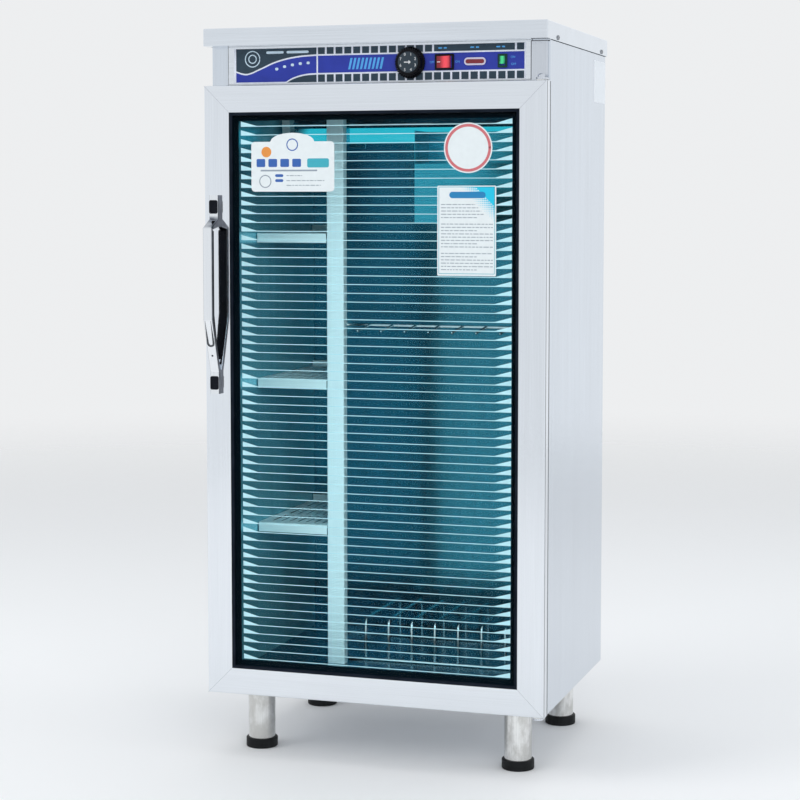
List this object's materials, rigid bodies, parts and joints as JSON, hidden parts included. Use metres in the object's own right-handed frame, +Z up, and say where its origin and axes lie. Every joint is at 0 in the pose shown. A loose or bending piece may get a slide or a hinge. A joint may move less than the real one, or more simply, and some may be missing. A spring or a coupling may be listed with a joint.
{
  "type": "knife sterilizer cabinet",
  "caption": "Stainless sterilizer cabinet for knives and cutting boards: four legs, hinged tinted glass door, racks, shelves, ultraviolet lamp and timer.",
  "frame": {"origin": "on the floor under the middle of the outer box", "axes": "+X to the viewer's right across the door, +Y from the door to the back, +Z up"},
  "size_m": [0.5764, 0.488, 1.194],
  "materials": {
    "casing_steel": "fine brushed, nearly white in daylight",
    "liner_steel": "dull rolled",
    "rack_wire": "bright electropolished wire",
    "door_steel": "polished, mirrors the handle",
    "tinted_glass": "blue-green tempered, printed dark border and white lines",
    "gasket_rubber": "matt black",
    "seal_vinyl": "satin grey",
    "handle_chrome": "polished",
    "grip_plastic": "fine grained black",
    "hinge_steel": "brushed",
    "bush_nylon": "natural white",
    "magnet_case": "white",
    "printed_overlay": "printed film, slate with a blue band",
    "knob_plastic": "black with a slate face",
    "switch_plastic": "black",
    "rocker_red": "translucent, lit",
    "rocker_green": "translucent, lit",
    "pilot_bezel_plastic": "pale",
    "pilot_red": "translucent",
    "lamp_glass": "clear quartz",
    "aluminium": "bright rolled",
    "ballast_enamel": "white enamel",
    "starter_plastic": "white",
    "fan_plastic": "black",
    "gland_plastic": "dark grey",
    "leg_steel": "brushed lengthwise",
    "foot_rubber": "matt black"
  },
  "bodies": {
    "cabinet": {"side_panel_left": "casing_steel", "side_panel_right": "casing_steel", "back_panel": "casing_steel", "top_lid": "casing_steel", "base_pan": "casing_steel", "front_header": "casing_steel", "control_panel": "casing_steel", "liner_left": "liner_steel", "liner_right": "liner_steel", "liner_back": "liner_steel", "liner_floor": "liner_steel", "liner_ceiling": "liner_steel", "divider_panel": "liner_steel", "divider_post": "liner_steel", "shelf_lower": "liner_steel", "shelf_middle": "liner_steel", "shelf_upper": "liner_steel", "shelf_rails": "liner_steel", "knife_rack": "liner_steel", "knife_slot_plate": "liner_steel", "board_rack": "rack_wire", "board_guide": "rack_wire", "hinge_bracket_upper": "hinge_steel", "hinge_bracket_lower": "hinge_steel", "sheet_screws": "hinge_steel", "lampholders": "bush_nylon", "reed_switch": "magnet_case", "panel_overlay": "printed_overlay", "timer_body": "knob_plastic", "power_switch_body": "switch_plastic", "lamp_switch_body": "switch_plastic", "pilot_bezel": "pilot_bezel_plastic", "pilot_lens": "pilot_red", "uv_tube": "lamp_glass", "uv_tube_caps": "aluminium", "lamp_reflector": "aluminium", "air_heater": "aluminium", "ballast": "ballast_enamel", "lamp_starter": "starter_plastic", "fan_housing": "fan_plastic", "cable_gland": "gland_plastic", "leg_tubes": "leg_steel", "leg_caps": "foot_rubber"},
    "door": {"door_stile_left": "door_steel", "door_stile_right": "door_steel", "door_rail_top": "door_steel", "door_rail_bottom": "door_steel", "door_inner_frame": "door_steel", "door_glass": "tinted_glass", "glazing_gasket": "gasket_rubber", "magnetic_seal": "seal_vinyl", "door_handle": "handle_chrome", "handle_grip": "grip_plastic", "handle_caps": "handle_chrome", "hinge_bushes": "bush_nylon", "interlock_magnet": "magnet_case"},
    "timer_knob": {"timer_knob": "knob_plastic"},
    "power_rocker": {"power_rocker": "rocker_red"},
    "lamp_rocker": {"lamp_rocker": "rocker_green"},
    "fan_impeller": {"fan_impeller": "fan_plastic"}
  },
  "joints": [
    {"name": "door_hinge", "type": "hinge", "parent": "cabinet", "child": "door", "pos_m": [0.274, -0.198, 0.604], "axis": [0, 0, 1], "range_deg": [0, 120]},
    {"name": "timer_turn", "type": "hinge", "parent": "cabinet", "child": "timer_knob", "pos_m": [0.0565, -0.1774, 1.1345], "axis": [0, 1, 0], "range_deg": [0, 300]},
    {"name": "power_rock", "type": "hinge", "parent": "cabinet", "child": "power_rocker", "pos_m": [0.1126, -0.1754, 1.1345], "axis": [0, 0, 1], "range_deg": [0, 20]},
    {"name": "lamp_rock", "type": "hinge", "parent": "cabinet", "child": "lamp_rocker", "pos_m": [0.207, -0.1754, 1.1345], "axis": [1, 0, 0], "range_deg": [0, 20]},
    {"name": "fan_spin", "type": "hinge", "parent": "cabinet", "child": "fan_impeller", "pos_m": [0.06, 0.093, 1.09], "axis": [0, 0, 1], "continuous": true}
  ]
}
